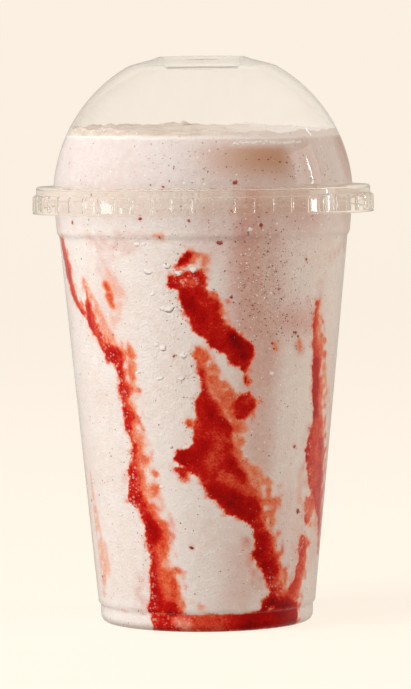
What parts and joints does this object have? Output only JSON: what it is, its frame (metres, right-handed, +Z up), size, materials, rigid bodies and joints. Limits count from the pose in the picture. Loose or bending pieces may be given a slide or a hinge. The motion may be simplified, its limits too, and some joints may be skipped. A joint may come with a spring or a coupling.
{
  "type": "cup of strawberry milkshake",
  "caption": "Clear tapered plastic cup of strawberry milkshake with sauce streaks inside its wall and a clear dome lid.",
  "frame": {"origin": "centre of the cup's foot, on the surface it stands on", "axes": "+Z up along the cup's axis, -Y towards the side shown, +X to that side's right"},
  "size_m": [0.1028, 0.1028, 0.1703],
  "materials": {
    "cup_plastic": "clear thin thermoformed plastic, glossy",
    "lid_plastic": "clear thin thermoformed plastic, glossy",
    "milkshake": "thick off-white strawberry milkshake with fine froth, soft satin",
    "sauce": "deep red strawberry sauce, wet and slightly see-through at its edges"
  },
  "bodies": {
    "root": {"cup": "cup_plastic", "dome_lid": "lid_plastic", "milkshake": "milkshake", "sauce_pool": "sauce", "sauce_streak_front_upper": "sauce", "sauce_streak_front_lower": "sauce", "sauce_streak_left": "sauce", "sauce_streak_right": "sauce", "sauce_streak_right_foot": "sauce", "sauce_streak_back_left": "sauce", "sauce_streak_back": "sauce", "sauce_streak_back_right": "sauce"}
  },
  "joints": []
}
